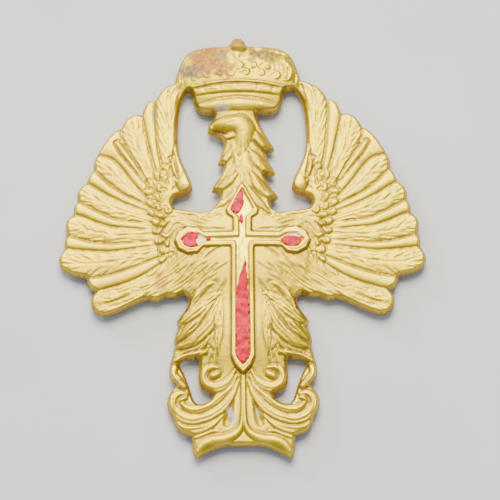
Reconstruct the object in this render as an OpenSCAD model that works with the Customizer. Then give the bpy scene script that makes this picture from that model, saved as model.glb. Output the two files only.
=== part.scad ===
// Die-struck cap badge: a crowned eagle with spread wings, a sword-shaped cross on its breast
// and scrolls below, pressed from thin brass sheet that is hollow behind. Remains of red enamel
// lie in the cross. Two soldered split prongs on the back hold the badge to a cap.
// It lies on its back, face up: +Y points to the crown and +Z out of the face.
// The wings, tail and scrolls are mirrored halves. Their points are for the +X side.

/* [Sheet] */
// Thickness of the brass sheet
sheet = 0.5; // [0.4:0.05:0.55]
// Height of the rim's underside above the folded prongs' undersides
rim_z = 0.9; // [0.8:0.05:1.2]
// Width of the flat flange round every trimmed edge
flange = 0.3; // [0.2:0.05:0.4]

/* [Relief] */
// Rise of the wings and scrolls above the rim's face
field_rise = 0.6; // [0.55:0.05:0.7]
// Rise of each feather above the field around it
feather_rise = 0.25; // [0.15:0.05:0.35]
// Rise of the breast above the rim's face
breast_rise = 1.5; // [1.4:0.05:1.55]
// Rise of the head and neck above the rim's face
head_rise = 1.5; // [1.4:0.05:1.6]
// Rise of the crown above the rim's face
crown_rise = 1.8; // [1.7:0.05:1.9]
// Rise of the cross's border above the rim's face
cross_rise = 2.0; // [1.9:0.05:2.1]
// Width of the groove between neighbouring feathers
groove = 0.24; // [0.16:0.02:0.3]

/* [Enamel] */
// Depth of the cross's cells below their border
cell_depth = 0.5; // [0.4:0.05:0.6]
// Thickness of the enamel left in the cells
enamel_t = 0.35; // [0.25:0.05:0.4]

/* [Prongs] */
// Width of a prong's strip
prong_w = 1.6; // [1.4:0.1:1.8]
// Thickness of a prong's strip
prong_t = 0.5; // [0.4:0.05:0.6]
// Length of a prong's leg from its bend to its tip
leg_l = 6.8; // [6:0.2:7]
// Half of the distance between the two bends of a prong
half_base = 2; // [1.9:0.1:2.2]
// Radius of the solder that joins a prong to the shell
solder_r = 1.15; // [1:0.05:1.25]
// Distance from the badge's origin to the middle of the upper prong
upper_y = 15.6; // [15.4:0.1:15.8]
// Distance from the badge's origin to the middle of the lower prong
lower_y = -6.5; // [-7:0.1:-6]

/* [Hidden] */

$fn = 48;
rim_face = rim_z + sheet;
cross_top = rim_face + cross_rise;
cell_floor = cross_top - cell_depth;
// Gap between a leg's round end and the end of its base
bend_gap = 0.05;
// The head's axis lies a little to the left of the wings'
head_x = -0.2;
crown_x = -0.4;
// Middle of the badge's height, which is the origin in Y
mid_y = 2.6;
// Overlap of the two mirrored halves
lap = 0.4;

// Feather tips along the wing's edge. Each starts at the notch before it.
feather_tips = [
    [[6.2, 21.2], [7.3, 20.9], [8.3, 20.4], [9.0, 19.7]],
    [[9.4, 18.9], [10.1, 18.8], [10.6, 18.2]],
    [[10.95, 17.2], [11.7, 17.25], [12.6, 16.7]],
    [[13.25, 15.65], [13.8, 15.4], [14.6, 14.6], [15.4, 13.4]],
    [[15.75, 12.7], [16.1, 12.0], [16.2, 11.4]],
    [[16.1, 11.0], [16.5, 10.5], [16.8, 9.9]],
    [[16.9, 9.5], [17.6, 8.9], [17.95, 8.1]],
    [[17.85, 7.4], [18.25, 6.8]],
    [[18.3, 5.9], [18.9, 5.4], [19.15, 4.6]],
    [[18.95, 3.5], [19.25, 2.8]],
    [[19.2, 2.05], [19.75, 1.2], [19.75, 0.3], [19.2, -0.4], [18.0, -0.9]],
    [[16.8, -1.15], [16.7, -1.8], [16.35, -2.4]],
    [[15.8, -2.7], [16.3, -3.5], [16.2, -4.5], [15.5, -5.2], [14.5, -5.3], [13.2, -4.85]]
];

// Underside of the wing, from the last feather in to the thigh
wing_underside = [
    [13.2, -4.85], [12.0, -4.3], [10.9, -3.8], [10.0, -3.6], [9.1, -3.75],
    [8.2, -3.35], [7.2, -3.35], [6.3, -3.05], [5.85, -3.5]
];

// Thigh and claw, from the wing down to the scroll, one run for each feather tip
thigh_runs = [
    [[5.85, -3.5], [5.9, -4.3], [6.5, -5.2], [7.1, -6.1], [6.85, -6.7]],
    [[6.85, -6.7], [7.2, -7.5], [7.4, -8.3], [7.25, -8.8]],
    [[7.25, -8.8], [7.5, -9.6], [7.75, -10.5], [7.9, -11.5], [7.75, -12.3], [7.15, -13.1]]
];

// Outer scroll, then the flared foot with its concave lower edge
scroll_runs = [
    [[7.15, -13.1], [7.7, -13.7], [8.1, -14.6], [8.0, -15.6], [7.5, -16.5]],
    [[7.5, -16.5], [7.3, -17.2], [6.7, -18.1], [5.55, -18.55]],
    [[5.55, -18.55], [5.4, -19.4], [5.4, -20.2], [4.9, -20.9], [4.4, -20.6], [3.0, -19.95],
     [1.5, -19.6], [-lap, -19.6]]
];

// Outer side of the upper opening, from the breast round the wing's shoulder to the crown
shoulder = [
    [3.4, 6.3], [4.0, 6.05], [5.2, 6.2], [6.6, 6.45], [7.3, 6.55], [7.6, 7.15], [7.3, 7.75],
    [6.4, 8.05], [5.7, 8.35], [5.4, 9.0], [5.75, 10.1], [6.35, 11.4], [6.85, 12.8], [7.0, 14.6],
    [6.95, 16.6], [6.75, 18.2], [6.3, 19.4], [5.8, 19.95], [5.2, 20.3]
];

// Opening between the thigh, the claw and the two scrolls
lower_opening = [
    [6.8, -10.7], [6.1, -10.25], [5.3, -10.2], [4.65, -10.3], [4.8, -12.2], [4.4, -13.4],
    [3.2, -14.05], [3.8, -14.8], [4.8, -15.05], [5.35, -14.5], [5.75, -13.2], [6.3, -11.8]
];

// Head and neck, from the left shoulder up past the beak, with a run for each feather tip
neck_left = [
    [[-4.2, 6.1], [-3.3, 6.4], [-2.5, 7.5], [-2.5, 8.2], [-3.3, 8.45]],
    [[-3.3, 8.45], [-3.1, 9.1], [-2.3, 10.3], [-2.0, 11.3], [-2.65, 11.5]],
    [[-2.65, 11.5], [-2.35, 12.5], [-2.0, 13.6], [-2.4, 14.45], [-3.75, 15.15]],
    [[-3.75, 15.15], [-3.6, 16.1], [-3.05, 17.0], [-3.0, 18.2]]
];
neck_right = [
    [[1.8, 18.2], [1.65, 17.0], [2.3, 15.5], [3.0, 14.2], [3.55, 13.1], [2.55, 12.95]],
    [[2.55, 12.95], [3.0, 11.6], [3.65, 10.35], [2.45, 10.2]],
    [[2.45, 10.2], [3.1, 8.9], [3.95, 7.7], [3.15, 7.3], [3.3, 6.4], [4.2, 6.0]]
];

// Half of the crown's edge about its own axis, from the lower roll up to the top ornament
crown_half = [
    [0, 17.2], [3.3, 17.3], [4.3, 17.65], [4.85, 18.5], [4.95, 19.3], [5.4, 19.95],
    [6.6, 20.2], [6.9, 21.2], [6.6, 22.2], [6.2, 23.3], [5.6, 24.2], [4.6, 24.8], [3.0, 25.05],
    [1.2, 25.1], [0.8, 25.6], [0.35, 26.05], [0, 26.1]
];

// Grooves between the feathers, each from the notch in the wing's edge in to the coverts
grooves = [
    [[9.45, 18.9], [9.5, 17.0], [9.35, 15.0], [9.2, 13.5], [8.9, 12.0]],
    [[10.95, 17.2], [10.6, 15.6], [10.3, 14.2], [10.0, 12.9], [9.6, 11.5]],
    [[13.2, 15.6], [13.05, 14.5], [12.65, 13.4], [12.05, 12.2], [11.4, 11.0], [10.8, 10.0]],
    [[15.7, 12.7], [14.3, 12.3], [13.4, 11.5], [12.7, 10.6], [11.9, 9.5], [11.2, 8.7]],
    [[16.05, 11.0], [15.3, 10.2], [14.5, 9.4], [13.5, 8.6], [12.4, 7.9], [11.0, 7.2]],
    [[16.8, 9.5], [15.9, 8.95], [15.0, 8.35], [14.0, 7.8], [12.8, 7.2], [10.6, 6.3]],
    [[17.7, 7.4], [16.8, 6.9], [15.8, 6.35], [14.7, 5.8], [13.4, 5.3], [10.2, 4.9]],
    [[18.2, 6.0], [17.2, 5.7], [16.2, 5.25], [15.0, 4.8], [13.7, 4.5], [10.2, 4.2]],
    [[18.8, 3.6], [17.8, 3.3], [16.6, 2.95], [15.2, 2.75], [13.6, 2.65], [10.0, 2.9]],
    [[19.1, 2.2], [17.9, 2.05], [16.4, 1.9], [15.0, 1.8], [13.6, 1.85], [9.8, 2.35]],
    [[16.8, -1.15], [15.5, -1.0], [14.2, -0.75], [12.8, -0.35], [11.4, 0.15], [9.0, 1.1]],
    [[15.8, -2.6], [14.6, -2.3], [13.2, -1.9], [11.8, -1.4], [10.5, -0.75], [8.6, 0.5]]
];

// Half of the cross's border and of its cell about the sword's axis, from the top down.
// The arms' cell is a groove that joins the lobes' cells to the blade's.
cross_half = [
    [0, 9.2], [0.75, 7.8], [1.75, 6.05], [1.6, 5.5], [1.0, 5.1], [0.97, 3.55], [4.15, 3.55],
    [4.75, 4.05], [5.9, 4.15], [6.85, 3.65], [7.3, 2.7], [6.9, 1.75], [5.9, 1.2], [4.85, 1.3],
    [4.2, 1.95], [1.3, 1.95], [1.2, 1.6], [1.25, -10.1], [0.85, -11.1], [0, -12.0]
];
cell_half = [
    [0, 8.4], [0.55, 7.4], [1.22, 6.1], [0.9, 5.55], [0.4, 5.2], [0.35, 2.95], [3.95, 2.95],
    [4.7, 3.35], [5.8, 3.4], [6.6, 2.7], [5.9, 1.95], [4.8, 1.95], [3.95, 2.5], [0.85, 2.5],
    [0.68, 2.1], [0.76, -9.9], [0.5, -10.5], [0, -11.1]
];

// Breast and thighs behind the cross
breast_half = [
    [-lap, 6.6], [2.4, 6.6], [3.4, 5.4], [6.4, 5.6], [7.4, 4.4], [7.9, 2.4], [7.2, 0.4],
    [5.2, -1.4], [4.6, -3.2], [5.4, -5.2], [5.8, -7.6], [4.2, -9.0], [2.2, -10.0], [1.6, -11.8],
    [-lap, -12.6]
];

// Point at share t of the way from b to c on the curve that also heads for a and d
function along(a, b, c, d, t) =
    (2 * b + (c - a) * t + (2 * a - 5 * b + 4 * c - d) * t * t + (3 * b - a - 3 * c + d) * t * t * t) / 2;

// Curve through the points of a run, without its last point, with n steps between points
function curve(p, n = 3) = [
    for (i = [0:len(p) - 2], k = [0:n - 1])
        along(p[max(i - 1, 0)], p[i], p[i + 1], p[min(i + 2, len(p) - 1)], k / n)
];

// Closed curve through the points
function loop(p, n = 3) = [
    for (i = [0:len(p) - 1], k = [0:n - 1])
        along(p[(i - 1 + len(p)) % len(p)], p[i], p[(i + 1) % len(p)], p[(i + 2) % len(p)], k / n)
];

function last(p) = p[len(p) - 1];
function reversed(p) = [for (i = [len(p) - 1:-1:0]) p[i]];

// Curve round a feather tip, ending short of the notch before the next feather
function tip(i) = curve(
    i < len(feather_tips) - 1 ? concat(feather_tips[i], [feather_tips[i + 1][0]]) : feather_tips[i],
    2
);

// Groove drawn on past the wing's edge, so that it parts the feather tips too
function long_groove(i) =
    let (p = grooves[i], away = (p[0] - p[1]) / norm(p[0] - p[1]))
    concat([p[0] + 2.4 * away], curve(p, 2), [last(p)]);

module both_sides() {
    children();
    mirror([1, 0, 0]) children();
}

// A solid from height low to height high on a flat outline
module slab(low, high) {
    translate([0, 0, low]) linear_extrude(height = high - low) children();
}

// One wing with its half of the breast, tail and scrolls
module half_outline() {
    polygon(concat(
        [[-lap, 6.3]],
        curve(shoulder, 2),
        [last(shoulder)],
        [for (i = [0:len(feather_tips) - 1]) each tip(i)],
        curve(wing_underside, 2),
        [for (run = thigh_runs) each curve(run, 2)],
        [for (run = scroll_runs) each curve(run, 3)],
        [[-lap, -19.6]]
    ));
}

module head_outline() {
    polygon(concat(
        [[-4.2, 5.0]],
        [for (run = neck_left) each curve(run, 2)],
        [last(last(neck_left))],
        [for (run = neck_right) each curve(run, 2)],
        [last(last(neck_right)), [4.2, 5.0]]
    ));
}

// Symmetric outline from the points of its +X half
module whole(half) {
    polygon(concat(half, [for (p = reversed(half)) if (p[0] > 0) [-p[0], p[1]]]));
}

module crown_outline() {
    translate([crown_x, 0]) whole(curve(crown_half, 2));
}

// Trimmed outline of the whole badge with its four openings
module outline() {
    difference() {
        union() {
            both_sides() half_outline();
            head_outline();
            crown_outline();
        }
        both_sides() polygon(loop(lower_opening, 2));
    }
}

module breast_outline() {
    both_sides() polygon(breast_half);
}

// Strip of a wing between two neighbouring grooves
module feather_strip(i) {
    polygon(concat(long_groove(i), reversed(long_groove(i + 1))));
}

// Raised feathers, trimmed to the field inside the flange
module feathers() {
    for (i = [0:len(grooves) - 2])
        slab(rim_z + sheet, rim_face + field_rise + feather_rise) intersection() {
            offset(delta = -groove / 2) feather_strip(i);
            offset(delta = -flange - 0.1) half_outline();
        }
}

// Scroll volutes that stand on the field: an outer one over each foot and a small one inside
module volutes() {
    top = rim_face + field_rise + feather_rise;
    translate([6.6, -14.9, rim_face]) cylinder(r = 1.1, h = top - rim_face);
    translate([3.4, -11.9, rim_face]) cylinder(r = 1.05, h = top - rim_face);
}

module struck_shell() {
    color([0.74, 0.62, 0.32]) difference() {
        union() {
            slab(rim_z, rim_face) outline();
            slab(rim_z, rim_face + field_rise) offset(delta = -flange) outline();
            slab(rim_z, rim_face + breast_rise) breast_outline();
            slab(rim_z, rim_face + head_rise) offset(delta = -flange - 0.1) head_outline();
            slab(rim_z, rim_face + crown_rise) offset(delta = -flange - 0.3) crown_outline();
            slab(rim_z, cross_top) whole(cross_half);
            both_sides() feathers();
            both_sides() volutes();
        }
        slab(rim_z - 1, rim_z + field_rise) offset(delta = -flange - sheet) outline();
        slab(rim_z - 1, rim_z + breast_rise) offset(delta = -sheet) breast_outline();
        slab(rim_z - 1, rim_z + head_rise) offset(delta = -flange - 0.1 - sheet) head_outline();
        slab(rim_z - 1, rim_z + crown_rise) offset(delta = -flange - 0.3 - sheet) crown_outline();
        slab(cell_floor, cross_top + 1) whole(cell_half);
    }
}

// A flake of enamel on the floor of a cell
module enamel(points) {
    color([0.87, 0.24, 0.32]) slab(cell_floor, cell_floor + enamel_t) polygon(points);
}

// Left half of the arrowhead at the sword's pommel
module enamel_point() {
    enamel([
        [-0.1, 8.05], [-0.45, 7.4], [-1.1, 6.15], [-0.95, 5.85], [-0.6, 5.65], [-0.25, 5.75],
        [0.1, 6.4], [0.15, 7.6]
    ]);
}

module enamel_neck() {
    enamel([[-0.25, 5.4], [0, 5.5], [0.1, 4.9], [0.02, 4.45], [-0.25, 4.5]]);
}

module enamel_left_lobe() {
    enamel([
        [-6.45, 2.7], [-5.85, 3.25], [-5.3, 3.3], [-4.8, 3.15], [-5.0, 2.5], [-4.9, 2.05],
        [-5.85, 2.05]
    ]);
}

module enamel_left_arm() {
    enamel([[-3.95, 2.85], [-3.5, 2.88], [-3.4, 2.7], [-3.9, 2.6]]);
}

module enamel_right_lobe() {
    enamel([[4.15, 2.65], [4.75, 3.05], [5.6, 3.0], [6.3, 2.75], [5.9, 2.05], [4.9, 2.05]]);
}

// Long flake that fills the lower blade and narrows to a sliver above
module enamel_blade() {
    enamel([
        [0.28, 1.0], [0.42, -0.6], [0.55, -2.4], [0.62, -6.0], [0.66, -9.8], [0.4, -10.4], [0, -10.9],
        [-0.42, -10.4], [-0.68, -9.9], [-0.68, -6.4], [-0.64, -3.6], [-0.46, -2.2], [-0.14, -1.0],
        [0.1, 0.2]
    ]);
}

// The strip soldered behind the shell, whose ends meet the two legs' bends
module prong_base(x, y) {
    length = 2 * (half_base - prong_t / 2 - bend_gap);
    color([0.70, 0.58, 0.30]) translate([x - prong_w / 2, y - length / 2, 0])
        cube([prong_w, length, prong_t]);
}

// Round leg with its bend on the X axis, which lies flat along +Y from there
module prong_leg() {
    color([0.72, 0.60, 0.31]) translate([0, 0, prong_t / 2]) {
        rotate([0, 90, 0]) cylinder(d = prong_t, h = prong_w, center = true);
        translate([-prong_w / 2, 0, -prong_t / 2]) cube([prong_w, leg_l - prong_w / 2, prong_t]);
        translate([0, leg_l - prong_w / 2, -prong_t / 2]) cylinder(d = prong_w, h = prong_t);
    }
}

// Solder from the strip up to the inside of the hollow above it
module prong_solder(x, y, ceiling) {
    color([0.62, 0.62, 0.60]) translate([x, y, prong_t]) rotate_extrude()
        polygon([[0, 0], [solder_r * 0.68, 0], [solder_r * 0.8, 0.4], [solder_r, ceiling - prong_t],
            [0, ceiling - prong_t]]);
}

module upper_prong_base() { prong_base(head_x, upper_y); }
module upper_prong_solder() { prong_solder(head_x, upper_y, rim_z + head_rise); }
module upper_prong_top_leg() { translate([head_x, upper_y + half_base, 0]) prong_leg(); }
module upper_prong_bottom_leg() {
    translate([head_x, upper_y - half_base, 0]) rotate([0, 0, 180]) prong_leg();
}
module lower_prong_base() { prong_base(0, lower_y); }
module lower_prong_solder() { prong_solder(0, lower_y, rim_z + breast_rise); }
module lower_prong_top_leg() { translate([0, lower_y + half_base, 0]) prong_leg(); }
module lower_prong_bottom_leg() {
    translate([0, lower_y - half_base, 0]) rotate([0, 0, 180]) prong_leg();
}

// Puts the origin at the middle of the badge's height
module centred() {
    translate([0, -mid_y, 0]) children();
}

centred() struck_shell();
centred() enamel_point();
centred() enamel_neck();
centred() enamel_left_lobe();
centred() enamel_left_arm();
centred() enamel_right_lobe();
centred() enamel_blade();
centred() upper_prong_base();
centred() upper_prong_solder();
centred() upper_prong_top_leg();
centred() upper_prong_bottom_leg();
centred() lower_prong_base();
centred() lower_prong_solder();
centred() lower_prong_top_leg();
centred() lower_prong_bottom_leg();
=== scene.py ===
import math

import bpy
import numpy as np
from mathutils import Matrix, Vector, kdtree
from mathutils.geometry import delaunay_2d_cdt


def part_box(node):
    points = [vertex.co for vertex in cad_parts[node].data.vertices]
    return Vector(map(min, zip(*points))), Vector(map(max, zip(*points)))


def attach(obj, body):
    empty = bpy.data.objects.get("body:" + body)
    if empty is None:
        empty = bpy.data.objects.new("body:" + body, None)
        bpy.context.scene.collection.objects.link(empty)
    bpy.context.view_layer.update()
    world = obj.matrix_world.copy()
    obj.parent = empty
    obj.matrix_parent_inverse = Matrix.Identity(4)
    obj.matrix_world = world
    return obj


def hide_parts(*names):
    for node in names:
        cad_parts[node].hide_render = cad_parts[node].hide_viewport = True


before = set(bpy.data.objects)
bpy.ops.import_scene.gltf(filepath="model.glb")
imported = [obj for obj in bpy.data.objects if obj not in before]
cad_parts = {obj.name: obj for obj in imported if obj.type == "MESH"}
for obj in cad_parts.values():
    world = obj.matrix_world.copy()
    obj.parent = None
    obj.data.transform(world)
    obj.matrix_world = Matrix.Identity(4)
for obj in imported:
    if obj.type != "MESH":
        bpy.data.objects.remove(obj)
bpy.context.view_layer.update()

# ---- sizes
# The relief is drawn in millimetres, seen from the front, with its origin on the sword's axis
# MID_Y below the middle of the badge's height. Heights are above the rim's face.
MM = 0.001
MID_Y = 2.6
SHELL_LOW, SHELL_HIGH = (corner.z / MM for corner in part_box("struck_shell"))
SHEET = 0.5
RIM_FACE = SHELL_LOW + SHEET
CROSS_TOP = SHELL_HIGH - RIM_FACE
FLANGE, ROLL = 0.1, 0.3     # flat edge inside the outline, and the rounded step up from it
CELL = 0.109                # spacing of the face's mesh
SNAP = 0.42 * CELL          # mesh points this near the outline are moved onto it
BACK_CELLS = 3              # the back's mesh is this many times coarser
CROWN_X = -0.4              # the crown stands a little to the left
TILT = math.radians(15)     # of the camera away from straight above, towards -Y
rng = np.random.default_rng(7)


# ---- curves
def curve(points, steps=8):
    """Smooth curve through the given points, whose rows may carry widths and heights too."""
    p = np.asarray(points, float)
    if len(p) == 2:
        share = np.linspace(0, 1, steps + 1)[:, None]
        return p[0] * (1 - share) + p[1] * share
    q = np.vstack([2 * p[0] - p[1], p, 2 * p[-1] - p[-2]])
    t = (np.arange(steps) / steps)[:, None]
    parts = []
    for a, b, c, d in zip(q[:-3], q[1:-2], q[2:-1], q[3:]):
        parts.append((2 * b + (c - a) * t + (2 * a - 5 * b + 4 * c - d) * t ** 2
                      + (3 * b - a - 3 * c + d) * t ** 3) / 2)
    return np.vstack(parts + [p[-1:]])


def evenly(path, spacing, least):
    """Points at even steps along a path, up to but without its end."""
    along = np.concatenate([[0], np.cumsum(np.hypot(*np.diff(path, axis=0).T))])
    at = np.linspace(0, along[-1], max(least, round(along[-1] / spacing)), endpoint=False)
    return np.stack([np.interp(at, along, path[:, k]) for k in (0, 1)], 1)


def spread(values, n):
    """One value, or a list of them set at even steps, for each of a path's n points."""
    return np.interp(np.linspace(0, 1, n), np.linspace(0, 1, np.size(values)), np.atleast_1d(values))


def smoothstep(low, high, value):
    t = np.clip((value - low) / (high - low), 0, 1)
    return t * t * (3 - 2 * t)


def noise(x, y, scale, seed):
    """Smooth value noise from -1 to 1, with cells of the given size."""
    n = 64
    table = np.random.default_rng(seed).uniform(-1, 1, (n, n))
    u, v = x / scale, y / scale
    i, j = np.floor(u).astype(int), np.floor(v).astype(int)
    fu, fv = u - i, v - j
    fu, fv = fu * fu * (3 - 2 * fu), fv * fv * (3 - 2 * fv)
    near, far = i % n, (i + 1) % n
    low, high = j % n, (j + 1) % n
    return ((table[near, low] * (1 - fu) + table[far, low] * fu) * (1 - fv)
            + (table[near, high] * (1 - fu) + table[far, high] * fu) * fv)


# ---- the trimmed outline
def cad_loops():
    """The outline and its openings, in the drawing's millimetres, from the rim of the CAD shell."""
    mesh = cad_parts["struck_shell"].data
    co = np.array([v.co for v in mesh.vertices]) / MM + (0, MID_Y, 0)
    following = {}
    for face in mesh.polygons:
        z = co[list(face.vertices), 2]
        if abs(face.normal.z) > 0.1 or z.min() > SHELL_LOW + 0.01 or abs(z.max() - RIM_FACE) > 0.02:
            continue
        ring = list(face.vertices)
        for a, b in zip(ring, ring[1:] + ring[:1]):
            if min(co[a, 2], co[b, 2]) > RIM_FACE - 0.02:
                following[tuple(co[a, :2].round(3))] = tuple(co[b, :2].round(3))
    loops = []
    while following:
        start, here = following.popitem()
        ring = [start]
        while here != start:
            ring.append(here)
            here = following.pop(here)
        loops.append(np.array(ring))
    return sorted(loops, key=len, reverse=True)


def rounded_loop(ring, corner=math.radians(38), spacing=0.03):
    """A loop of straight steps made smooth between its corners, as evenly spaced points."""
    ahead = np.roll(ring, -1, 0) - ring
    angle = np.arctan2(ahead[:, 1], ahead[:, 0])
    turn = np.abs((angle - np.roll(angle, 1) + math.pi) % (2 * math.pi) - math.pi)
    corners = [i for i in range(len(ring)) if turn[i] > corner] or [0]
    ring = np.roll(ring, -corners[0], 0)
    stops = [i - corners[0] for i in corners] + [len(ring)]
    closed = np.vstack([ring, ring[:1]])
    pieces = []
    for first, final in zip(stops, stops[1:]):
        pieces.append(evenly(curve(closed[first:final + 1]), spacing, 2))
    return np.vstack(pieces)


loops = [rounded_loop(ring) for ring in cad_loops()]


# ---- the drawing's canvas
class Canvas:
    """Heights on an even grid that is twice as fine as the face's mesh and symmetric in x."""
    step = CELL / 2

    def __init__(self, half_width=20.4, low=-21.4, high=26.6):
        n = math.ceil(half_width / CELL) * 2
        m = math.ceil((high - low) / CELL) * 2
        self.xs = (np.arange(2 * n + 1) - n) * self.step
        self.ys = low + np.arange(m + 1) * self.step
        self.x, self.y = np.meshgrid(self.xs, self.ys)
        self.form = np.zeros_like(self.x)
        self.detail = np.zeros_like(self.x)
        self.cuts = np.zeros_like(self.x)

    def window(self, low, high):
        """Index of the grid points in the box between two corners."""
        i = np.searchsorted(self.xs, (low[0], high[0]))
        j = np.searchsorted(self.ys, (low[1], high[1]))
        return slice(max(j[0] - 1, 0), j[1] + 1), slice(max(i[0] - 1, 0), i[1] + 1)

    def sample(self, field, x, y):
        """Field read at any places, between its grid points."""
        u = np.clip((x - self.xs[0]) / self.step, 0, len(self.xs) - 1.001)
        v = np.clip((y - self.ys[0]) / self.step, 0, len(self.ys) - 1.001)
        i, j = u.astype(int), v.astype(int)
        fu, fv = u - i, v - j
        return ((field[j, i] * (1 - fu) + field[j, i + 1] * fu) * (1 - fv)
                + (field[j + 1, i] * (1 - fu) + field[j + 1, i + 1] * fu) * fv)


canvas = Canvas()


def edge_distance(x, y):
    """Distance inside the trimmed outline, negative outside it, on a coarse grid."""
    points = np.vstack(loops)
    tree = kdtree.KDTree(len(points))
    for i, (px, py) in enumerate(points):
        tree.insert((px, py, 0), i)
    tree.balance()
    away = np.array([tree.find((a, b, 0))[2] for a, b in zip(x.ravel(), y.ravel())]).reshape(x.shape)
    inside = np.zeros(x.shape, bool)
    heads = [np.roll(ring, -1, 0) for ring in loops]
    tails, heads = np.vstack(loops), np.vstack(heads)
    for row, level in enumerate(y[:, 0]):
        over = (tails[:, 1] > level) != (heads[:, 1] > level)
        a, b = tails[over], heads[over]
        crossings = np.sort(a[:, 0] + (level - a[:, 1]) / (b[:, 1] - a[:, 1]) * (b[:, 0] - a[:, 0]))
        inside[row] = np.searchsorted(crossings, x[row]) % 2 == 1
    return np.where(inside, away, -away)


node_x, node_y = canvas.x[::2, ::2], canvas.y[::2, ::2]
node_edge = edge_distance(node_x, node_y)


def refined(coarse):
    """A field on the mesh's nodes brought to the finer canvas."""
    out = np.zeros_like(canvas.x)
    out[::2, ::2] = coarse
    out[1::2, ::2] = (coarse[:-1] + coarse[1:]) / 2
    out[:, 1::2] = (out[:, :-1:2] + out[:, 2::2]) / 2
    return out


def blurred(field, reach):
    """Field averaged over a soft spot of about the given reach."""
    n = round(reach / canvas.step / 2)
    for axis in (0, 1, 0, 1):
        rows = np.moveaxis(field, axis, 0)
        sums = np.cumsum(np.concatenate([rows[:1]] * (n + 1) + [rows] + [rows[-1:]] * n), 0)
        field = np.moveaxis((sums[2 * n + 1:] - sums[:-2 * n - 1]) / (2 * n + 1), 0, axis)
    return field


edge = refined(node_edge)


# ---- strokes
def nearest_on(path, x, y):
    """For each place: distance to the path, side of it, and how far along it, as a share of segments."""
    best = np.full(x.shape, 1e9)
    side = np.zeros(x.shape)
    where = np.zeros(x.shape)
    for i, (a, b) in enumerate(zip(path[:-1], path[1:])):
        d = b - a
        length = max(d @ d, 1e-12)
        t = np.clip(((x - a[0]) * d[0] + (y - a[1]) * d[1]) / length, 0, 1)
        px, py = x - a[0] - t * d[0], y - a[1] - t * d[1]
        away = px * px + py * py
        closer = away < best
        best = np.where(closer, away, best)
        side = np.where(closer, np.sign(d[0] * py - d[1] * px), side)
        where = np.where(closer, i + t, where)
    return np.sqrt(best), side, where


def even_odd(rings, places):
    """Which places are inside the rings, by counting crossings."""
    tails = np.vstack(rings)
    heads = np.vstack([np.roll(ring, -1, 0) for ring in rings])
    run = heads - tails
    slope = run[:, 0] / np.where(run[:, 1] == 0, 1, run[:, 1])
    out = []
    for block in np.array_split(places, max(1, len(places) // 500)):
        x, y = block[:, :1], block[:, 1:2]
        over = ((tails[:, 1] > y) != (heads[:, 1] > y)) & (x < tails[:, 0] + (y - tails[:, 1]) * slope)
        out.append(over.sum(1) % 2 == 1)
    return np.concatenate(out)


PROFILES = {
    "round": lambda t: np.sqrt(np.clip(1 - t * t, 0, 1)),
    "soft": lambda t: np.clip(1 - t * t, 0, 1),
    "bell": lambda t: np.clip(1 - t * t, 0, 1) ** 2,
    "flat": lambda t: np.clip(1 - t ** 4, 0, 1),
}


def stroke(points, width, rise, profile="round", over=0.0, mode="top", ribs=None, dy=0.0):
    """Draws one raised stroke along a curve through the points, shifted up by dy.

    width is half the stroke's width; width and rise may be lists, spread along the stroke.
    over > 0 lays it on top of what is there, with a crease of that depth round it. Otherwise the
    higher of the two stays, or with mode="add" the stroke is added. ribs is (number, depth) of
    lines along it."""
    path = curve(np.asarray(points, float) + (0, dy))
    n = len(path)
    widths, rises = spread(width, n), spread(rise, n)
    reach = widths.max() + 0.3
    box = canvas.window(path.min(0) - reach, path.max(0) + reach)
    x, y = canvas.x[box], canvas.y[box]
    away, side, where = nearest_on(path, x, y)
    w = np.maximum(np.interp(where, np.arange(n), widths), 1e-3)
    h = np.interp(where, np.arange(n), rises)
    t = away / w
    body = h * PROFILES[profile](t)
    if ribs:
        count, depth = ribs
        wander = 0.3 * noise(x + 30, y + 30, 0.8, 9)
        lines = np.cos(math.pi * (t * side * count + wander))
        body = body + depth * lines * smoothstep(1.0, 0.7, t) * smoothstep(0.08, 0.3, w)
    region = canvas.detail[box]
    if mode == "add":
        region += np.where(t < 1, body, 0)
    elif over:
        crease = over * np.exp(-((away - w) / 0.07) ** 2)
        inside = smoothstep(1.04, 0.96, t)
        region[:] = region * (1 - inside) + body * inside - crease * (t > 0.5)
    else:
        region[:] = np.where(t < 1, np.maximum(region, body), region)


def groove(points, width, depth, dy=0.0):
    """Cuts a fine line along a curve."""
    stroke(points, width, -np.asarray(depth, float), "bell", mode="add", dy=dy)


def mirrored():
    """Copies the right half of the drawing to the left half."""
    middle = len(canvas.xs) // 2
    for field in (canvas.form, canvas.detail, canvas.cuts):
        field[:, :middle] = field[:, :middle:-1]


def bump(x0, y0, rx, ry, height, power):
    """A smooth round swelling of the broad form."""
    u, v = (canvas.x - x0) / rx, (canvas.y - y0) / ry
    return height * np.clip(1 - u * u - v * v, 0, 1) ** power


def raise_to(shape, softness=0.25):
    """Lifts the broad form to a shape where that is higher, with a soft join."""
    gap = canvas.form - shape
    h = np.clip(0.5 + 0.5 * gap / softness, 0, 1)
    canvas.form[:] = shape * (1 - h) + canvas.form * h + softness * h * (1 - h)


def along_form(points, width, height):
    """A rounded ridge of the broad form along a curve."""
    path = curve(points)
    n = len(path)
    away, _, where = nearest_on(path, canvas.x, canvas.y)
    w = np.interp(where, np.arange(n), spread(width, n))
    h = np.interp(where, np.arange(n), spread(height, n))
    return h * np.clip(1 - (away / w) ** 2, 0, 1) ** 0.5


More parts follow.
